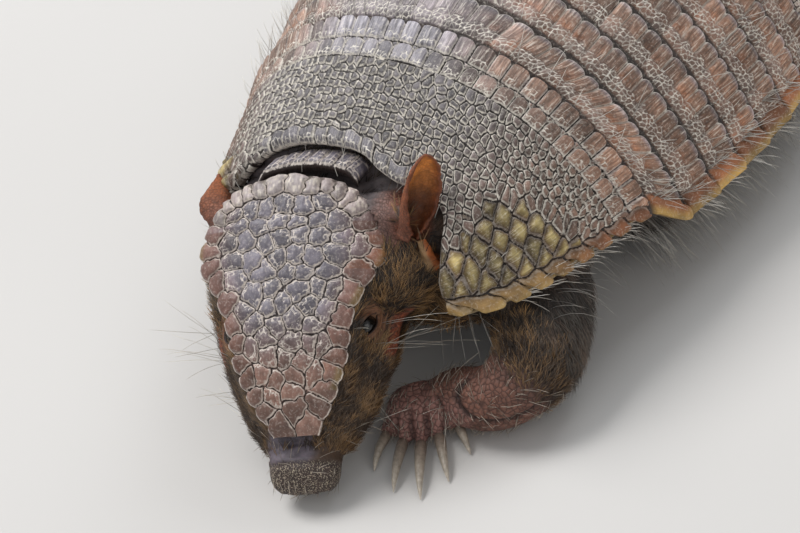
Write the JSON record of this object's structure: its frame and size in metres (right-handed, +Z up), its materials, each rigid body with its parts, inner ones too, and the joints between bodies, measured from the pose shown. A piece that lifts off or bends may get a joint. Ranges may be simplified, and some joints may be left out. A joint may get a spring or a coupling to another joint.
{
  "type": "armadillo model",
  "caption": "Life-size still model of a large hairy armadillo, standing with its head lowered and turned to its left, armoured in shields and bands.",
  "frame": {"origin": "on the floor, under the middle of the whole animal's bounding box", "axes": "+Z up from the floor, -Y the way the body faces, +X the animal's left side"},
  "size_m": [0.1904, 0.4162, 0.1169],
  "materials": {
    "armour": "horny scutes, satin",
    "head_armour": "horny scutes, satin",
    "hide": "haired skin, matt",
    "foot_skin": "scaly skin, matt",
    "horn": "claw horn, satin",
    "ear_skin": "granular skin, matt",
    "nose_skin": "bare skin, matt",
    "eye": "wet gloss"
  },
  "bodies": {
    "root": {"band_1": "armour", "band_2": "armour", "band_3": "armour", "band_4": "armour", "band_5": "armour", "band_6": "armour", "band_7": "armour", "claw_fore_left_1": "horn", "claw_fore_left_2": "horn", "claw_fore_left_3": "horn", "claw_fore_left_4": "horn", "claw_fore_left_5": "horn", "claw_fore_right_1": "horn", "claw_fore_right_2": "horn", "claw_fore_right_3": "horn", "claw_fore_right_4": "horn", "claw_fore_right_5": "horn", "claw_hind_left_1": "horn", "claw_hind_left_2": "horn", "claw_hind_left_3": "horn", "claw_hind_left_4": "horn", "claw_hind_left_5": "horn", "claw_hind_right_1": "horn", "claw_hind_right_2": "horn", "claw_hind_right_3": "horn", "claw_hind_right_4": "horn", "claw_hind_right_5": "horn", "ear_left": "ear_skin", "ear_right": "ear_skin", "eye_left": "eye", "eye_right": "eye", "fore_leg_left": "hide", "fore_leg_right": "hide", "forefoot_left": "foot_skin", "forefoot_right": "foot_skin", "head": "hide", "head_shield": "head_armour", "hind_leg_left": "hide", "hind_leg_right": "hide", "hindfoot_left": "foot_skin", "hindfoot_right": "foot_skin", "neck": "hide", "neck_band": "armour", "nose": "nose_skin", "pelvic_shield": "armour", "scapular_shield": "armour", "tail_base": "hide", "tail_middle": "hide", "tail_tip": "hide", "trunk": "hide"}
  },
  "joints": []
}
